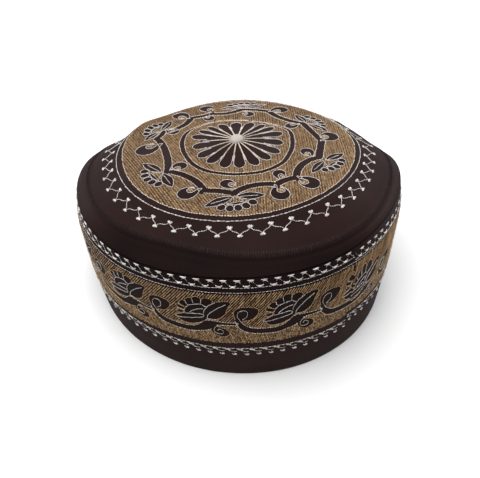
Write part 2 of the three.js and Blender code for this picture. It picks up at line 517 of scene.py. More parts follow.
def first_run(free):
    """Start and size of the first stretch of free places in each row."""
    start = free.argmax(axis=1)
    stop = ~free & (np.arange(FILL_SAMPLES) > start[:, None])
    end = np.where(stop.any(axis=1), stop.argmax(axis=1), FILL_SAMPLES)
    return start, np.where(free.any(axis=1), end - start, 0)


def fill(low, high, degrees, length, pitch, width, height, row_painted_shade, noise, blocked):
    """Rows of fill stitches over a rectangle of the chart, laid as bricks and turned by an angle.
    What a motif or the field's edge blocks is cut out, and leftovers that are too short go too. Every
    second row is painted darker by a share, painted shade between the rows, and noise varies each stitch."""
    low, high = np.asarray(low, float), np.asarray(high, float)
    middle, reach = (low + high) / 2, np.linalg.norm(high - low) / 2 + length
    lines = np.arange(-reach, reach, pitch)
    runs = np.arange(-reach, reach, length)
    across, along = (g.ravel() for g in np.meshgrid(lines, runs, indexing="ij"))
    row = np.round(across / pitch).astype(int)
    row_tone = rng.normal(0, ROW_NOISE, row.max() - row.min() + 1)[row - row.min()]
    # Painted highlight and painted shade: alternate rows are painted lighter and darker.
    tone = np.clip(0.5 + row_painted_shade * (row % 2 - 0.5) + row_tone + rng.normal(0, noise, row.shape), 0, 1)
    along = along + length * ((row * BRICK_SHIFT) % 1)
    across = across + rng.normal(0, ROW_SHAKE * pitch, across.shape)
    along = along + rng.normal(0, END_SHAKE, along.shape)
    way = np.linspace(-0.5, 0.5, FILL_SAMPLES)
    x = along[:, None] + way * length * FILL_OVERLAP
    samples = turned(np.stack([x, across[:, None] + 0 * x], axis=-1), degrees) + middle
    centre = samples[:, FILL_SAMPLES // 2]
    in_box = np.all((centre > low - length) & (centre < high + length), axis=1)
    samples, tone = samples[in_box], tone[in_box]
    flat = samples.reshape(-1, 2)
    free = ~(blocked(flat) | np.any((flat < low) | (flat > high), axis=1)).reshape(samples.shape[:2])
    first, first_size = first_run(free)
    from_end, last_size = first_run(free[:, ::-1])
    last = FILL_SAMPLES - from_end - last_size
    index = np.tile(np.arange(len(samples)), 2)
    a = np.concatenate([first, last])
    size = np.concatenate([first_size, np.where(last > first, last_size, 0)])
    keep = (size - 1) * length / FILL_SAMPLES > SHORTEST_STITCH
    index, a, size = index[keep], a[keep], size[keep]
    start, end = samples[index, a], samples[index, a + size - 1]
    vary = rng.uniform(0.85, 1.12, (len(index), 2))
    return np.column_stack([start, end, width * vary[:, 0], height * vary[:, 1], tone[index]])


def rings(radii, heights, count, closed):
    """Grid of rings turned around the axis: angles (count), rows as given; faces between rows, and
    between the last and the first where the profile is closed."""
    angles = np.linspace(0, 2 * np.pi, count, endpoint=False)
    r, a = np.meshgrid(radii, angles, indexing="ij")
    z = np.repeat(np.asarray(heights, float)[:, None], count, axis=1)
    rows = len(radii)
    first = np.arange(rows if closed else rows - 1)
    i, j = np.meshgrid(first, np.arange(count), indexing="ij")
    k, n = (i + 1) % rows, (j + 1) % count
    faces = np.stack([i * count + j, i * count + n, k * count + n, k * count + j], axis=-1)
    return r, a, z, faces.reshape(-1, 4)


def closed_faces(quads, count, over, under, apex):
    """Triangles of a grid of rings, with a fan from the ring over to the apex, and one that faces the
    other way from the ring under to the point after the apex."""
    j = np.arange(count)
    n = (j + 1) % count
    upper = np.column_stack([over * count + j, over * count + n, 0 * j + apex])
    lower = np.column_stack([under * count + n, under * count + j, 0 * j + apex + 1])
    return np.vstack([quads[:, [0, 1, 2]], quads[:, [0, 2, 3]], upper, lower])


# Materials.
def add_node(tree, kind, links=None, values=None, operation=None):
    """A new shader node, with what is linked to its sockets, and the uniform values of others."""
    node = tree.nodes.new("ShaderNode" + kind)
    if operation:
        node.operation = operation
    for socket, output in (links or {}).items():
        tree.links.new(output, node.inputs[socket])
    set_values(node, values or {})
    return node


def set_values(node, values):
    """Uniform values, set on the sockets themselves."""
    for socket, value in values.items():
        node.inputs[socket].default_value = value


def carried(tree, name):
    """The vectors that a piece carries under a name."""
    node = add_node(tree, "Attribute")
    node.attribute_name = name
    return node.outputs["Vector"]


def ramp_of(tree, fac, colours):
    """Colours at even steps from 0 to 1, by a value."""
    node = add_node(tree, "ValToRGB", {"Fac": fac})
    stops = node.color_ramp.elements
    for k in range(1, len(colours) - 1):
        stops.new(k / (len(colours) - 1))
    for stop, colour in zip(stops, colours):
        stop.color = (*colour, 1)
    return node.outputs["Color"]


def add_bump(tree, shader, height, strength, distance):
    """A bump from a height, on the shader."""
    bump = add_node(tree, "Bump", {"Height": height}, {"Strength": strength, "Distance": distance})
    tree.links.new(bump.outputs["Normal"], shader.inputs["Normal"])


def principled(name, colour, roughness):
    """A new material, its node tree and its shader."""
    material = bpy.data.materials.new(name)
    material.use_nodes = True
    shader = material.node_tree.nodes["Principled BSDF"]
    set_values(shader, {"Base Color": (*colour, 1), "Roughness": roughness, "Specular IOR Level": 0.04})
    return material, material.node_tree, shader


# How far the twist slants over a thread, and the cloth's colours: painted light, its own, painted shade.
TWIST_SLANT = 1.6
CLOTH_LIT_AND_SHADED_TONES = ((0.0205, 0.0136, 0.0134), (0.0136, 0.0066, 0.0060), (0.0056, 0.0024, 0.0023))


def cloth_material():
    """Tight dark satin cloth: two crossed waves make its woven bump, a value carried by the surface picks
    the tone from painted light through its own tone to painted shade, and noise varies it."""
    material, tree, shader = principled("brown cloth", (0.02, 0.013, 0.013), 0.7)
    set_values(shader, {"Sheen Weight": 0.012, "Sheen Roughness": 0.5, "Sheen Tint": (0.55, 0.42, 0.42, 1)})
    weave_and_painted_shade = carried(tree, "weave_and_painted_shade")
    waves = {}
    for socket, direction in enumerate(("X", "Y")):
        wave = add_node(tree, "TexWave", {"Vector": weave_and_painted_shade},
                        {"Scale": 0.55, "Distortion": 0.6, "Detail": 1.0})
        wave.wave_type = "BANDS"
        wave.bands_direction = direction
        waves[socket] = wave.outputs["Fac"]
    mix = add_node(tree, "Math", waves, operation="ADD")
    add_bump(tree, shader, mix.outputs["Value"], 0.35, 0.0002)
    # Painted light and painted shade: the third number carried picks the cloth's tone.
    parts = add_node(tree, "SeparateXYZ", {"Vector": weave_and_painted_shade})
    ramp = ramp_of(tree, parts.outputs["Z"], CLOTH_LIT_AND_SHADED_TONES)
    place = add_node(tree, "TexCoord").outputs["Object"]
    noise = add_node(tree, "TexNoise", {"Vector": place}, {"Scale": 35, "Detail": 4})
    share = add_node(tree, "MapRange", {"Value": noise.outputs["Fac"]},
                     {"From Min": 0.3, "From Max": 0.7, "To Min": 0.87, "To Max": 1.13})
    tone = add_node(tree, "VectorMath", {"Vector": ramp, "Scale": share.outputs["Result"]},
                    operation="SCALE")
    tree.links.new(tone.outputs["Vector"], shader.inputs["Base Color"])
    return material


def thread_material(name, dark, light, roughness, twist):
    """Thread: its tone varies from stitch to stitch, and slanting waves along it are its twist."""
    material, tree, shader = principled(name, light, roughness)
    set_values(shader, {"Sheen Weight": 0.05})
    parts = add_node(tree, "SeparateXYZ", {"Vector": carried(tree, "thread")})
    ramp = ramp_of(tree, parts.outputs["Z"], (dark, light))
    tree.links.new(ramp, shader.inputs["Base Color"])
    slant = add_node(tree, "Math", {0: parts.outputs["Y"]}, {1: TWIST_SLANT}, "MULTIPLY")
    phase = add_node(tree, "Math", {0: parts.outputs["X"], 2: slant.outputs["Value"]}, {1: twist},
                     "MULTIPLY_ADD")
    wave = add_node(tree, "Math", {0: phase.outputs["Value"]}, operation="SINE")
    add_bump(tree, shader, wave.outputs["Value"], 0.45, 0.00012)
    return material


CLOTH = cloth_material()
TAN = thread_material("tan thread", (0.074, 0.036, 0.015), (0.342, 0.224, 0.119), 0.5, 14.0)
WHITE = thread_material("white thread", (0.34, 0.31, 0.29), (0.60, 0.56, 0.53), 0.45, 12.0)
CREAM = thread_material("cream thread", (0.30, 0.23, 0.17), (0.62, 0.54, 0.46), 0.5, 12.0)
DARK_THREAD = thread_material("brown thread", (0.007, 0.0035, 0.0035), (0.018, 0.0098, 0.0096),
                              0.5, 12.0)


# Cloth.
# Points round each ring of the cloth, and the painted shade over the front of the cap: its middle, how
# far it reaches to both sides and over how many degrees it fades there. Painted shade runs from 0,
# painted light, to 1, darkest: at the wall's foot, at its lit top, and at the lit top of the cap.
RING_POINTS = 480
PAINTED_SHADE_MIDDLE = -93
PAINTED_SHADE_REACH = 68
PAINTED_SHADE_FADE = 33
FOOT_PAINTED_SHADE = 0.42
WALL_PAINTED_SHADE = 0.02
CROWN_PAINTED_SHADE = 0.22
# Creases of the wall: how deep the one under the seam and the waves above the hem are.
SEAM_CREASE = 0.22
HEM_WAVE = 0.12


def painted_front_shade(degrees):
    """1 over the front of the cap, where the cloth is painted darker as painted shade, falling smoothly to
    0 at both sides.
    """
    t = np.clip((PAINTED_SHADE_REACH - np.abs(angle_from(degrees, PAINTED_SHADE_MIDDLE))) / PAINTED_SHADE_FADE, 0, 1)
    return t * t * (3 - 2 * t)


def wall_cloth():
    """Side wall: its profile goes up the outside, turns over the seam edge, comes down the inside and
    rounds the folded rim; each point is turned around the axis and settled, with faint creases."""
    upper = SEAM_HEIGHT - 0.05
    half = WALL_THICKNESS / 2
    base = wall_radius(0)

    def hem(degrees):
        """Radii and heights on the round of the folded rim."""
        turn = np.radians(np.array(degrees))
        return base - half + half * np.cos(turn), half + half * np.sin(turn)

    outer_hem, inner_hem = hem([-60, -30, 0]), hem([180, 210, 240, 270])
    outer_z = np.concatenate([np.linspace(2.2, 60, 36), np.linspace(61.5, upper - 1.2, 9)])
    edge = np.array([(91.75, upper - 0.65), (91.3, upper - 0.2), (90.4, upper), (89.6, upper)])
    inner_z = np.linspace(upper - 1, 1.6, 24)
    inner_r = wall_radius(inner_z) - WALL_THICKNESS
    radii = np.concatenate([outer_hem[0], wall_radius(outer_z), edge[:, 0], inner_r, inner_hem[0]])
    heights = np.concatenate([outer_hem[1], outer_z, edge[:, 1], inner_z, inner_hem[1]])
    r, a, z, faces = rings(radii, heights, RING_POINTS, True)
    outside = np.arange(len(radii))[:, None] < len(outer_hem[0]) + len(outer_z)
    crease = SEAM_CREASE * bell(z - 66.2 - 0.5 * np.sin(3 * a), 0.7)
    crease += HEM_WAVE * np.sin(9 * a + 0.09 * z) * bell(z - 14, 12)
    r = r + np.where(outside, crease, 0)
    points = settle(r * np.cos(a), r * np.sin(a), z).reshape(-1, 3)
    piece = new_object("side_wall_cloth", points, faces, CLOTH)
    # Painted shade: the wall's top is painted darkest at the front and lightest, as painted light, at the
    # sides; its foot keeps a middle tone.
    upper_share = np.clip((z - 8) / 50, 0, 1)
    top_painted_shade = (1 - WALL_PAINTED_SHADE) * painted_front_shade(np.degrees(a)) + WALL_PAINTED_SHADE
    shade = FOOT_PAINTED_SHADE + (top_painted_shade - FOOT_PAINTED_SHADE) * upper_share
    add_vectors(piece, "weave_and_painted_shade", np.stack([a * BAND_RADIUS, z, shade], axis=-1).reshape(-1, 3))
    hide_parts("side_wall")


def crown_cloth():
    """Round top: its profile goes from the seam edge over the outside to the middle and back along
    the inside; low ridges of cloth run round the shoulder, and two points close the middle."""
    outer_r = np.concatenate([[90.5, 91.2, 91.55], np.linspace(91.0, 64, 66), np.linspace(62, 2, 24)])
    outer_z = crown_height(outer_r)
    outer_z[:3] = (SEAM_HEIGHT, SEAM_HEIGHT + 0.08, SEAM_HEIGHT + 0.45)
    inner_r = np.concatenate([np.linspace(2, 80, 16), np.linspace(82, 89.4, 6)])
    slope = np.interp(inner_r, CROWN_CURVE[:, 0], CROWN_SLOPE)
    thickness = CROWN_THICKNESS * np.sqrt(1 + np.minimum(slope ** 2, 0.8))
    inner_z = np.maximum(crown_height(inner_r) - thickness, SEAM_HEIGHT + 0.02)
    r, a, z, faces = rings(np.concatenate([outer_r, inner_r]), np.concatenate([outer_z, inner_z]),
                           RING_POINTS, True)
    middle = len(outer_r) - 1
    faces = faces[faces[:, 0] // RING_POINTS != middle]
    degrees = np.degrees(a)
    outside = np.arange(len(r))[:, None] < len(outer_r)
    z = z + np.where(outside, crown_relief(r, degrees), 0)
    # Painted shade: inside the fold the top is painted a little darker at the front; beyond the fold it is
    # painted darkest at the front and lightest, as painted light, at the sides.
    front = painted_front_shade(degrees)
    beyond_fold = np.clip((r - fold_radius(degrees) + 0.6) / 2.4, 0, 1)
    shade = (CROWN_PAINTED_SHADE + 0.33 * front) * (1 - beyond_fold) + front * beyond_fold
    points = settle(r * np.cos(a), r * np.sin(a), z).reshape(-1, 3)
    poles = settle(np.zeros(2), np.zeros(2), CROWN_ROWS[-1][1] - np.array([0, CROWN_THICKNESS]))
    triangles = closed_faces(faces, RING_POINTS, middle, middle + 1, len(points))
    piece = new_object("crown_cloth", np.vstack([points, poles]), triangles, CLOTH)
    weave_and_painted_shade = np.stack([r * np.cos(a), r * np.sin(a), shade], axis=-1).reshape(-1, 3)
    add_vectors(piece, "weave_and_painted_shade", np.vstack([weave_and_painted_shade, np.zeros((2, 3))]))
    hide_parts("crown_panel")


# Medallion.
def vine_line():
    """Middle line of the vine: from corner to corner it bows towards the centre as a rounded
    parabola, so that the corners stay sharp."""
    rows = []
    for k, (x, y, bow) in enumerate(VINE_CORNERS):
        a = np.array([x, y])
        b = np.array(VINE_CORNERS[(k + 1) % len(VINE_CORNERS)][:2])
        t = np.linspace(0, 1, 22)[:-1, None]
        chord = b - a
        inward = np.array([-chord[1], chord[0]]) / np.linalg.norm(chord)
        rows.append(a + chord * t + inward * bow * (4 * t * (1 - t)) ** 0.75)
    return np.vstack(rows)


# A curl of radius 1 whose stem leaves along x: its outer edge, its eye's near edge and the eye.
CURL_OUTER = ((1.75, 0.02), (1.35, -0.24), (1.08, -0.54), (0.62, -0.87), (0, -1.02), (-0.66, -0.78),
              (-1, -0.12), (-0.86, 0.56), (-0.36, 0.93), (0.22, 1), (0.68, 0.88), (1.02, 0.62),
              (1.14, 0.36))
CURL_NEAR = ((1.04, 0.40), (0.84, 0.62), (0.54, 0.72), (0.26, 0.60), (0.14, 0.30), (0.24, 0),
             (0.56, -0.12), (0.92, -0.04), (1.2, 0.12), (1.45, 0.16))
CURL_EYE = (0.58, 0.3)


def curl_loops(x, y, size, eye, way, side):
    """Comma round an eye: its edge runs from the stem round the outside and back along the eye."""
    def placed(points):
        """Points from the curl's own axes to the chart: flipped, sized, turned and moved."""
        return turned(points * np.array([1, side]) * size, way) + (x, y)

    t = np.linspace(0, 1, 22)
    spiral = polar(0.45 * eye / size * (1 - 0.62 * t), 150 - 420 * t) + CURL_EYE
    return placed(np.vstack([smooth_line(CURL_OUTER, 4), smooth_line(CURL_NEAR, 3)])), placed(spiral)


def flower_shapes(x, y, lean, size):
    """Outlines and ribs of one flower in its own axes, x along the edge and y outwards, then placed."""
    shapes = [leaf((-0.9, 0.4), (-15.6, 2.9), 2.7, 3.1), leaf((0.9, 0.4), (16.4, 4.4), 3.1, 2.7),
              leaf((-5.2, 5.5), (5.2, 5.5), 1.5, 0.3)]
    for side, out in ((-7.9, 7.1), (-4.1, 8.9), (0, 9.5), (4.1, 8.9), (7.9, 7.1)):
        shapes.append(oval((side, out), 2.5, 2.2, 90 - 4 * side))
    ribs = [[(-2.6, 1.2), (-11.6, 2.2)], [(2.6, 1.2), (12.4, 3.2)], [(0, 0), (-3.4, 4.7)],
            [(0, 0), (3.4, 4.7)]]
    turn = np.degrees(np.arctan2(y, x)) - 90 + lean
    out = np.array([x, y]) * (1 + 1.0 / np.hypot(x, y))
    return tuple([size * turned(line, turn) + out for line in lines] for lines in (shapes, ribs))


def rosette_rays():
    """Angle and reach of every petal from the knot, and the angle to the next one."""
    tips = np.subtract(PETAL_TIPS, KNOT_CENTRE)
    degrees = np.degrees(np.arctan2(tips[:, 1], tips[:, 0]))
    return degrees, np.hypot(tips[:, 0], tips[:, 1]), (np.roll(degrees, -1) - degrees) % 360


def rosette_petals():
    """Petals around the knot: each half grows with the radius until the gap to its neighbour is
    filled, then ends as a quarter ellipse."""
    s = np.linspace(0, 1, 19)
    round_end = np.sqrt(np.clip(1 - ((s - PETAL_WIDEST) / (1 - PETAL_WIDEST)) ** 2, 0, 1))
    degrees, reach, gap = rosette_rays()
    petals = []
    for k in range(len(reach)):
        r = PETAL_START + (reach[k] - PETAL_START) * s
        halves = []
        for turn in (gap[k], gap[k - 1]):
            free = reach[k] * PETAL_WIDEST * np.tan(np.radians(turn / 2)) - PETAL_GAP
            most = np.clip(free, *PETAL_HALVES)
            straight = PETAL_FOOT + (most - PETAL_FOOT) * s / PETAL_WIDEST
            halves.append(np.where(s < PETAL_WIDEST, straight, most * round_end))
        petal = np.vstack([np.column_stack([r, halves[0]]), np.column_stack([r, -halves[1]])[::-1][1:]])
        petals.append(turned(petal, degrees[k]) + KNOT_CENTRE)
    return petals


def rosette_cords():
    """Cord in each gap between two petals: short stitches side by side, slanted across the gap."""
    degrees, reach, gap = rosette_rays()
    rows = []
    for k in range(len(reach)):
        shorter = min(reach[k], reach[(k + 1) % len(reach)])
        r = np.arange(PETAL_START, PETAL_WIDEST * shorter, CORD_PITCH)
        middle = degrees[k] + gap[k] / 2
        step = turned(np.array([[0.6, 0.42]]), middle)
        line = turned(np.column_stack([r, 0 * r]), middle) + KNOT_CENTRE
        size = np.full(len(r), CORD_WIDTH)
        rows.append(np.column_stack([line - step, line + step, size, size]))
    return np.vstack(rows)


def rim_radius(degrees, column):
    """Radius of the medallion's rim at an angle: of the tan field (1) or of the white line (2)."""
    rows = np.array(RIM_ROWS)
    return np.interp(degrees, rows[:, 0], rows[:, column], period=360)


def gap_to(p, line, half):
    """Distance of each point to the edge of a band: to its nearest middle point, less the half width
    there; in parts that spare memory."""
    parts = [np.min(np.hypot(q[:, 0:1] - line[:, 0], q[:, 1:2] - line[:, 1]) - half, axis=1)
             for q in np.array_split(p, 1 + len(p) // 20000)]
    return np.concatenate(parts)


def medallion():
    """Fill stitches between the motifs of the top, with their outlines and edges."""
    vine = vine_line()
    ring_rows = np.array(RING_ROWS)
    ring = smooth_loop(np.column_stack([polar(ring_rows[:, 1], ring_rows[:, 0]), ring_rows[:, 2]]))
    ring, ring_half = ring[:, :2], ring[:, 2]
    petals = rosette_petals()
    curls = [curl_loops(*row) for row in CURLS]
    flowers = [flower_shapes(*row) for row in FLOWERS]
    shapes = petals + [loop for loop, _ in curls] + [s for shapes, _ in flowers for s in shapes]
    wide = [grown(s, MOTIF_GAP) for s in shapes]
    wide.append(np.subtract(PETAL_TIPS, KNOT_CENTRE) * PETAL_COVER + KNOT_CENTRE)

    def blocked(p):
        """True outside the tan field, and where the ring, the vine or a motif covers the point."""
        stop = np.hypot(p[:, 0], p[:, 1]) > rim_radius(np.degrees(np.arctan2(p[:, 1], p[:, 0])), 1)
        stop |= gap_to(p, ring, ring_half) < RING_GAP
        stop |= gap_to(p, vine, VINE_HALF) < VINE_GAP
        for loop in wide:
            stop |= inside(p, loop)
        return stop

    reach = MEDALLION_REACH
    corners = (((-reach, -reach), (FILL_TURNS_AT, reach)), ((FILL_TURNS_AT, -reach), (reach, reach)))
    rows = np.vstack([fill(low, high, degrees, *MEDALLION_FILL, blocked)
                      for (low, high), degrees in zip(corners, FILL_DEGREES)])
    # Painted shade: the tan is painted darker towards the back and the left.
    x, y = rows[:, 0] / FILL_PAINTED_SHADE_WAY, rows[:, 1] / FILL_PAINTED_SHADE_WAY
    far = np.clip(y, 0, 1) + 0.6 * np.clip(-x - 0.3, 0, 1)
    rows[:, -1] = np.clip(rows[:, -1] - FILL_PAINTED_SHADE * far, 0, 1)
    half = rows[:, 1] + rows[:, 3] < 0
    front = stitches("medallion_fill_front", rows[half], on_crown, TAN)
    back = stitches("medallion_fill_back", rows[~half], on_crown, TAN)
    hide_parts("crown_medallion")
    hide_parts("crown_medallion")

    lines = [along_line(s, *PETAL_LINE, True) for s in petals]
    lines = [line[np.hypot(*(line[:, 0:2] - KNOT_CENTRE).T) > PETAL_LINE_START] for line in lines]
    lines += [along_line(loop, *CURL_LINE, True) for loop, _ in curls]
    for shapes, ribs in flowers:
        lines += [along_line(s, *FLOWER_LINE, True) for s in shapes]
        lines += [along_line(r, *RIB_LINE) for r in ribs]
    around = np.linspace(0, 360, 240, endpoint=False)
    lines.append(along_line(polar(rim_radius(around, 2), around), *RIM_LINE, True, 0.1))
    stitches("medallion_outlines", np.vstack(lines), on_crown, WHITE)
    edges = []
    for line, half in ((vine, np.full(len(vine), VINE_HALF)), (ring, ring_half)):
        for side in (half, -half):
            edge = along_line(line + sides(line, True) * side[:, None], *BAND_EDGE, True, 0.0, 0.08)
            middle = (edge[:, 0:2] + edge[:, 2:4]) / 2
            edges.append(edge[gap_to(middle, line, np.maximum(half, 0.7)) > -0.25])
    edges.append(along_line(polar(rim_radius(around, 1), around), *FIELD_EDGE, True, -0.1, 0.1))
    edges += [along_line(spiral, *SPIRAL_LINE) for _, spiral in curls]
    edges.append(rosette_cords())
    edges = np.vstack(edges)
    edges = np.column_stack([edges, rng.uniform(0.35, 1.0, len(edges))])
    stitches("medallion_edges", edges, on_crown, CREAM)


def shifts(degrees, rows):
    """Sum of the bells round the cap that the rows give as angle, spread and size."""
    return sum(size * near(degrees, middle, spread) for middle, spread, size in rows)


def crown_zigzag():
    """Knots of the zigzag around the medallion, in and out by turns, and the thread between them."""
    k = np.arange(CROWN_ZIGZAGS + 1)
    turn = k - np.where(k > CROWN_ZIGZAGS / 2, CROWN_ZIGZAGS, 0)
    pull = sum(move * bell(turn - at, spread) for at, spread, move in ZIGZAG_PULLS)
    outer_angle = CROWN_ZIGZAG_START + 360 / CROWN_ZIGZAGS * k + pull
    inner_angle = (outer_angle[:-1] + outer_angle[1:]) / 2
    inner_angle -= 1.2 * np.sin(np.radians(2 * (inner_angle + 90)))
    spread = np.where(angle_from(outer_angle, OUTER_KNOT_DRAW_AT) > 0, 25, 60)
    outer_radius = OUTER_KNOT_RADIUS - OUTER_KNOT_DRAW * near(outer_angle, OUTER_KNOT_DRAW_AT, spread)
    outer_radius += shifts(outer_angle, OUTER_KNOT_SHIFTS)
    outer = polar(outer_radius, outer_angle)
    inner = polar(INNER_KNOT_RADIUS + shifts(inner_angle, INNER_KNOT_SHIFTS), inner_angle)
    rows = []
    way = np.linspace(0.1, 0.9, 6)
    for a, b, turn_side in ((outer[:-1], inner, 1), (inner, outer[1:], -1)):
        along = b - a
        side = np.column_stack([-along[:, 1], along[:, 0]])
        sway = ZIGZAG_SWAY * turn_side * np.sin(2 * np.pi * way)
        path = a[None] + along[None] * way[:, None, None] + side[None] * sway[:, None, None]
        size = np.full(len(a), ZIGZAG_WIDTH)
        rows += [np.column_stack([p, q, size, size]) for p, q in zip(path[:-1], path[1:])]
    for centre, angle, out in ((outer[:-1], outer_angle[:-1], 1), (inner, inner_angle, -1)):
        rows.append(knot(centre, angle, out))
    stitches("crown_zigzag", np.vstack(rows), on_crown, WHITE)


# Lobes of a knot: start and end as (along the row, outwards), width and height.
CROWN_KNOT = (
    (-1.75, 0.45, 0.2, -0.15, 1, 0.7), (-1.4, 0, 0.1, -0.5, 0.8, 0.6), (-1, 0.85, 0.1, 0.2, 0.8, 0.6),
    (-0.2, -0.15, 1.75, 0.35, 1, 0.7), (-0.1, -0.5, 1.3, -0.1, 0.8, 0.6), (0.3, 0.1, 0.8, 0.8, 0.8, 0.6),
    (0.3, -1.1, -0.1, 0.5, 0.7, 0.6))
KNOT_SCALE = 0.85


def knot(centre, degrees, out):
    """The lobes of one knot shape at every place, turned to face outwards there."""
    radial, around = polar(1, degrees), polar(1, degrees + 90)
    rows = []
    for x0, y0, x1, y1, width, height in CROWN_KNOT:
        ends = [centre + (around * x + radial * y * out) * KNOT_SCALE for x, y in ((x0, y0), (x1, y1))]
        size = rng.uniform(0.85, 1.1, len(centre)) * KNOT_SCALE
        rows.append(np.column_stack([*ends, size * width, size * height]))
    return np.vstack(rows)


def centre_knot():
    """Satin boss over the middle: a dome whose height falls as a quarter ellipse to its edge, with
    a ridge for each of its threads."""
    base, count = 0.15, 64
    t = np.concatenate([[-0.12], np.linspace(0, np.pi / 2 * 0.94, 12)])
    r, a, z, faces = rings(np.cos(t) * KNOT_RADIUS, np.sin(t) * KNOT_HEIGHT, count, False)
    x, y = r * np.cos(a), r * np.sin(a)
    thread = 0.10 * np.cos(2 * np.pi * y / 0.62) * np.clip(np.sin(t) + 0.3, 0, 1)[:, None]
    middle_x, middle_y = KNOT_CENTRE
    points = on_crown(x + middle_x, y + middle_y, base + z + thread).reshape(-1, 3)
    poles = on_crown(np.full(2, middle_x), np.full(2, middle_y), np.array([base + KNOT_HEIGHT + 0.1, -0.1]))
    triangles = closed_faces(faces, count, len(t) - 1, 0, len(points))
    points = np.vstack([points, poles])
    piece = new_object("centre_knot_satin", points, triangles, WHITE)
    x, y = points[:, 0] / MM, points[:, 1] / MM
    add_vectors(piece, "thread", np.column_stack([x, 6 * y, 0 * x]))
    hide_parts("centre_knot")


# Frieze. One repeat of its motif: the curled leaf, the stem, the small curl, two buds, four petals,
# the flower's two inner petals and its three long leaves.
FRIEZE_SHAPES = [
    smooth_loop([(-4, -1.1), (-5.3, 1.6), (-5.9, 4.4), (-5.2, 7.1), (-2.4, 8.8), (2, 8.7), (5, 7.7),
        (5.5, 5.4), (4, 2.6), (1.4, 0.5), (-1.6, 0.1)]),
    ribbon([(-4.6, 0.6, 0.8), (-4, -1.6, 0.9), (-2.8, -3.8, 1.3), (-0.9, -5.8, 1.5), (1.2, -7, 1.5),
        (5, -7.8, 1.5), (9, -8.2, 1.5), (13, -8.5, 1.55), (17, -8, 1.6), (20.4, -6.9, 1.9),
        (23.2, -5.2, 2.6), (25.4, -3.4, 2.6), (27.6, -2.6, 1.5), (30, -2.3, 0.85), (34, -2.5, 0.6),
        (39.2, -2.6, 0.6)]),
    smooth_loop([(26.6, -6.4), (26.5, -8.2), (28, -10.6), (30.7, -11.9), (34, -11), (34.9, -9.1),
        (33.9, -7.2), (31.6, -5.8), (29.4, -5.2), (28, -4.4)]),
    leaf((12.8, 3.4), (9.3, 2.8), 0.9, 0.7),
    leaf((13.8, 5.2), (9.2, 7.2), 1, 0.8),
    smooth_loop([(11.2, 9), (12.6, 10.6), (14.3, 10.6), (14.6, 9.2), (14.5, 7.6), (12.6, 7.6)]),
    smooth_loop([(14.6, 11.4), (15.6, 12.9), (17.2, 12.8), (18, 11.4), (18.2, 10.2), (17, 9), (15.4, 8.2),
        (14.8, 9.6)]),
    smooth_loop([(18, 12.6), (19.2, 14.2), (20.7, 14.3), (21.9, 13.2), (22.1, 11.8), (22, 10.4), (20, 10),
        (18.2, 10)]),
    smooth_loop([(22.4, 12.6), (23.7, 13.6), (25.4, 13.9), (27, 13.4), (27.6, 12.1), (26, 10.4),
        (24.5, 9.2), (23.2, 9.6), (22.3, 10.6)]),
    smooth_loop([(13.6, 5), (14.8, 7.2), (17, 8.9), (19.5, 9.6), (22.2, 9.9), (23.6, 9), (24.2, 7.4),
        (22.9, 7.2), (20.3, 6.5), (18.4, 5.5), (16.7, 4.3), (15.6, 2.9), (13.9, 2.9)]),
    smooth_loop([(15.9, 2.9), (17, 4.3), (18.6, 5.4), (20.4, 6.3), (22.9, 7), (23.2, 5), (22.9, 3.2),
        (21, 3.5), (18.5, 3.3)]),
    smooth_loop([(8, -0.9), (10.7, 1.1), (13.6, 2), (16.7, 2.7), (19.5, 3.1), (22, 3.2), (23, 2.3),
        (22.2, 1), (19.4, 0.3), (15.7, -0.6), (12.8, -1.2), (10.4, -1.6)]),
    smooth_loop([(9.8, -2.6), (11.7, -4.1), (13.9, -4.4), (17.4, -4), (20.6, -2.6), (23.2, -0.6),
        (23.2, 0.9), (19.4, 0.3), (15.7, -0.6), (12.6, -1.3), (10.4, -1.9)]),
    smooth_loop([(24.3, 0.8), (23, 3.4), (23.2, 5.6), (24, 7.4), (25.4, 9.2), (27, 10.5), (29.3, 11.8),
        (32.2, 12.4), (36, 12.3), (34.9, 9.8), (33.9, 6.9), (32.9, 4.1), (30.8, 1.9), (28.3, 0.9)]),
]
STEM = 1
LONG_LEAF = 11
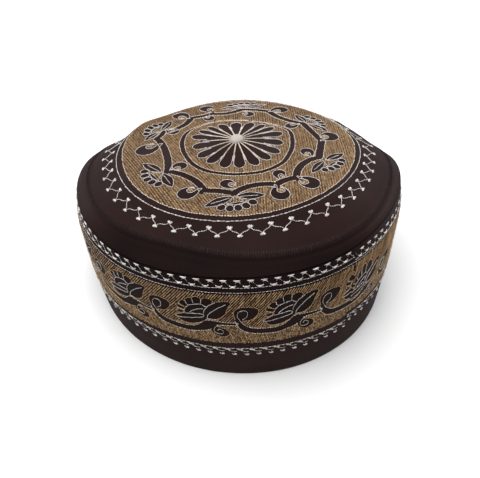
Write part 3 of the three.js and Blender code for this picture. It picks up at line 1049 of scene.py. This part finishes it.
# White lines of one repeat: the spirals in the curled leaf and the small curl, then those in the
# flower, and the pale edge of its lower leaf.
FRIEZE_SPIRALS = [
    smooth_line([(-1.6, -2.8), (-2.6, -1.5), (-3.4, 0.3), (-4.3, 2.2), (-4.4, 4.1), (-3.8, 5.7),
        (-2.8, 6.7), (-1.6, 6.9), (-0.4, 6.7), (0.5, 5.7), (0.6, 3.9), (0.1, 2.6), (-0.8, 1.6),
        (-2.2, 0.6)]),
    smooth_line([(31, -4.2), (28.6, -5), (27.6, -6.5), (27.4, -8.3), (28.3, -9.6), (30, -10.2),
        (31.7, -9.8), (32, -8.3), (31, -6.9), (29.5, -6.7), (29, -8)]),
]
FRIEZE_LINES = [
    smooth_line([(13.4, 4.2), (13.8, 5.7), (14.8, 7.1), (15.9, 8.2), (17.9, 9.2), (19.5, 9.6), (22.2, 10),
        (23.2, 9.2), (24.5, 8.8)]),
    smooth_line([(14.2, 10.7), (14.7, 9.2), (15.6, 8.1)]),
    np.array([(17.7, 12.7), (18.4, 10.1)]),
    np.array([(22.2, 12.9), (22.1, 10.2)]),
    smooth_line([(15.6, 2.9), (16.7, 4.3), (18.4, 5.5), (20.3, 6.5), (22.9, 7.2)]),
    np.vstack([FRIEZE_SHAPES[LONG_LEAF], FRIEZE_SHAPES[LONG_LEAF][:1]]),
    smooth_line([(23, 3.6), (23, 4.9), (23.8, 6.9), (25.1, 8.8), (26.6, 10.2), (29.1, 11.7)]),
    smooth_line([(24.5, 0.6), (24.9, 2.8), (26.2, 4.5), (28.1, 6.5), (30.1, 8.2), (32.2, 9.8),
        (34.2, 10.9)]),
    smooth_line([(24.6, 0.3), (26.3, 0.3), (27.8, 0.1), (30, 0.3)]),
    np.array([(10.2, 8.6), (12.3, 7.2)]),
    smooth_line([(9.4, 5.1), (11.5, 4.9), (13.3, 4.3)]),
]
SEPAL_EDGE = smooth_line([(9.6, -2.9), (11.6, -4.5), (13.9, -4.9), (17.5, -4.4), (20.9, -2.9),
                          (24, -0.4)])


def frieze_blocked(p):
    """True where a motif of any repeat covers the point."""
    stop = np.zeros(len(p), bool)
    for loop in FRIEZE_SHAPES:
        wide = grown(loop, FRIEZE_GAP)
        low, high = wide[:, 0].min(), wide[:, 0].max()
        u = (p[:, 0] - low) % FRIEZE_PITCH + low
        some = u <= high
        stop[some] |= inside(np.column_stack([u[some], p[some, 1]]), wide)
    return stop


def in_strip(rows, margin=0.2):
    """Rows of stitches whose middle lies between the strip's ends."""
    middle = (rows[:, 0] + rows[:, 2]) / 2
    return rows[(middle > STRIP_START + margin) & (middle < STRIP_END - margin)]


def repeated(rows, period, first, last):
    """The rows of one repeat at every place from first to last."""
    shift = np.arange(first, last + 1)[:, None] * np.array([period, 0, period, 0, 0, 0])
    many = (rows[None] + shift[:, None]).reshape(-1, 6)
    many[:, 4:6] *= rng.uniform(0.92, 1.08, (len(many), 2))
    many[:, 0:4] += np.tile(rng.normal(0, 0.04, (len(many), 2)), (1, 2))
    return many


def frieze_rows(rows):
    """The stitches of one repeat of the frieze all along the strip."""
    return in_strip(repeated(np.vstack(rows), FRIEZE_PITCH, *FRIEZE_REPEATS))


def frieze():
    """Fill stitches around the motifs of the wall, with their lines, edges and stem beads."""
    start, end = STRIP_START + 0.4, STRIP_END - 0.4
    upper = fill((start, FRIEZE_SPLIT), (end, FRIEZE_TOP), *UPPER_FILL, frieze_blocked)
    lower = fill((start, FRIEZE_BOTTOM), (end, FRIEZE_SPLIT + 0.3), *LOWER_FILL, frieze_blocked)
    pieces = [stitches("frieze_fill_upper", upper, on_frieze, TAN),
              stitches("frieze_fill_lower", lower, on_frieze, TAN)]
    for piece in pieces:
        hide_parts("wall_frieze")
    white = [along_line(s, *FRIEZE_LINE) for s in FRIEZE_LINES]
    white += [along_line(s, *FRIEZE_SPIRAL) for s in FRIEZE_SPIRALS]
    stitches("frieze_lines", frieze_rows(white), on_frieze, WHITE)
    edges, beads = [], [along_line(SEPAL_EDGE, *SEPAL_LINE, False, -0.25)]
    for k, shape in enumerate(FRIEZE_SHAPES):
        edge = along_line(grown(shape, FRIEZE_GAP), *MOTIF_EDGE, True, -0.15)
        middle = (edge[:, 0:2] + edge[:, 2:4]) / 2
        covered = [inside(middle, grown(other, 0.5)) for j, other in enumerate(FRIEZE_SHAPES) if j != k]
        (beads if k == STEM else edges).append(edge[~np.any(covered, axis=0)])
    edges = frieze_rows(edges)
    edges = np.column_stack([edges, rng.uniform(0.75, 1.0, len(edges))])
    stitches("frieze_edges", edges, on_frieze, TAN)
    stitches("frieze_stem_beads", frieze_rows(beads), on_frieze, CREAM)


# Stitches of one repeat of the wall's borders: start, end (both along the strip and above the
# frieze's middle), width and height.
UPPER_BORDER = (
    (-1.8, 24.6, 1.9, 24.7, 0.66, 0.6), (-0.9, 24.4, 1.3, 24, 0.66, 0.6),
    (0.8, 24.1, 1.6, 23.1, 0.32, 0.3), (-0.1, 23.9, -0.8, 23.1, 0.24, 0.24),
    (1.6, 23, 2.6, 22.2, 0.14, 0.16), (2.7, 22.1, 3.5, 21.3, 0.5, 0.45),
    (3.2, 21.3, 5.7, 21.3, 1.1, 0.75), (5.4, 21.4, 6, 22.1, 0.6, 0.5))
LOWER_BORDER = (
    (-1.5, -20.5, 0.6, -20.9, 0.8, 0.6), (0.3, -20.6, 1.3, -22, 0.7, 0.55),
    (1.5, -20.6, 0.9, -21.3, 0.5, 0.45), (1.2, -22.1, 3.2, -22.6, 0.26, 0.26),
    (3, -22.6, 5, -22.4, 0.26, 0.26), (2.2, -24, 2.9, -24.8, 0.5, 0.45),
    (2.6, -24.9, 4.9, -24.9, 0.9, 0.6), (4.8, -24.6, 3.4, -23.8, 0.45, 0.4))


def borders():
    """Rows of knots and dashed lines along both edges of the strip."""
    count = int((STRIP_END - STRIP_START) / BORDER_PITCH) + 2
    start = np.array([STRIP_START, 0, STRIP_START, 0, 0, 0])
    rows = [repeated(np.array(row), BORDER_PITCH, 0, count) + start for row in (UPPER_BORDER, LOWER_BORDER)]
    for height, step, width, overlap in BORDER_LINES:
        line = np.array([(STRIP_START, height), (STRIP_END, height)])
        rows.append(along_line(line, step, width, BORDER_LINE_HEIGHT, False, overlap))
    rows = in_strip(np.vstack(rows))
    sag = np.clip((rows[:, 0:3:2] / FRIEZE_PITCH - BORDER_SAG_FROM) / BORDER_SAG_WAY, 0, 1) * BORDER_SAG
    rows[:, 1:4:2] -= np.where(rows[:, 1:4:2] < 0, sag, 0)
    stitches("wall_borders", rows, on_frieze, WHITE)


def seam_stitches():
    """Dark stitches over the fold of the shoulder, and down both ends of the strip."""
    degrees = np.linspace(0, 360, TOPSTITCHES, endpoint=False)
    middle = fold_radius(degrees)
    start, end = (polar(middle + side * TOPSTITCH_HALF, degrees) for side in (-1, 1))
    size = np.full(TOPSTITCHES, TOPSTITCH_WIDTH)
    rows = np.column_stack([start, end, size, 0.5 * size])
    stitches("shoulder_topstitch", rows, on_crown, DARK_THREAD)
    low, high = FRIEZE_BOTTOM - STRIP_END_REACH, FRIEZE_TOP + STRIP_END_REACH
    ends = [along_line([(u, low), (u, high)], *STRIP_END_LINE, False, -0.3)
            for u in (STRIP_START, STRIP_END)]
    stitches("strip_end_stitches", np.vstack(ends), on_frieze, DARK_THREAD)


wall_cloth()
crown_cloth()
medallion()
crown_zigzag()
centre_knot()
frieze()
borders()
seam_stitches()


# Floor, light and camera.
def floor():
    """Plain white floor."""
    size = 6.0
    points = np.array([(-size, -size, 0), (size, -size, 0), (size, size, 0), (-size, size, 0)], float)
    mesh = bpy.data.meshes.new("floor")
    mesh.from_pydata(points.tolist(), [], [(0, 1, 2, 3)])
    plane = linked("floor", mesh)
    material = principled("floor", (0.66, 0.66, 0.66), 0.9)[0]
    mesh.materials.append(material)


def area_light(name, place, target, power, size):
    """A square soft white light that faces a point."""
    light = bpy.data.lights.new(name, "AREA")
    light.energy = power
    light.size = size
    lamp = linked(name, light)
    lamp.location = place
    lamp.rotation_euler = (Vector(target) - Vector(place)).to_track_quat("-Z", "Y").to_euler()


def world():
    """Even pale light from all around."""
    scene_world = bpy.data.worlds.new("studio")
    scene_world.use_nodes = True
    background = scene_world.node_tree.nodes["Background"]
    background.inputs["Color"].default_value = (1, 1, 1, 1)
    background.inputs["Strength"].default_value = 0.5
    bpy.context.scene.world = scene_world


def camera():
    """Camera that faces its aim from the photograph's angle."""
    elevation, roll = np.radians(CAMERA_ELEVATION), CAMERA_ROLL
    back = np.array([0, -np.cos(elevation), np.sin(elevation)])
    right = np.array([1.0, 0, 0])
    up = np.cross(back, right)
    right, up = np.cos(roll) * right + np.sin(roll) * up, -np.sin(roll) * right + np.cos(roll) * up
    view = bpy.data.cameras.new("camera")
    view.sensor_fit = "HORIZONTAL"
    view.sensor_width = SENSOR_WIDTH
    view.lens = LENS_PIXELS * SENSOR_WIDTH / PHOTO_WIDTH
    view.clip_start = 0.01
    seer = linked("camera", view)
    matrix = np.eye(4)
    matrix[:3] = np.column_stack([right, up, back, np.array(CAMERA_AIM) * MM + CAMERA_DISTANCE * back])
    seer.matrix_world = Matrix(matrix.tolist())
    bpy.context.scene.camera = seer


floor()
world()
area_light("top light", (-0.25, -0.1, 1.2), (0, 0, 0.06), 26.0, 1.2)
area_light("front light", (0.35, -1.0, 0.75), (0, 0, 0.05), 4.0, 0.8)
area_light("back light", (0.3, 0.9, 0.8), (0, 0, 0.08), 4.0, 0.8)
camera()
bpy.context.scene.view_settings.view_transform = "Standard"
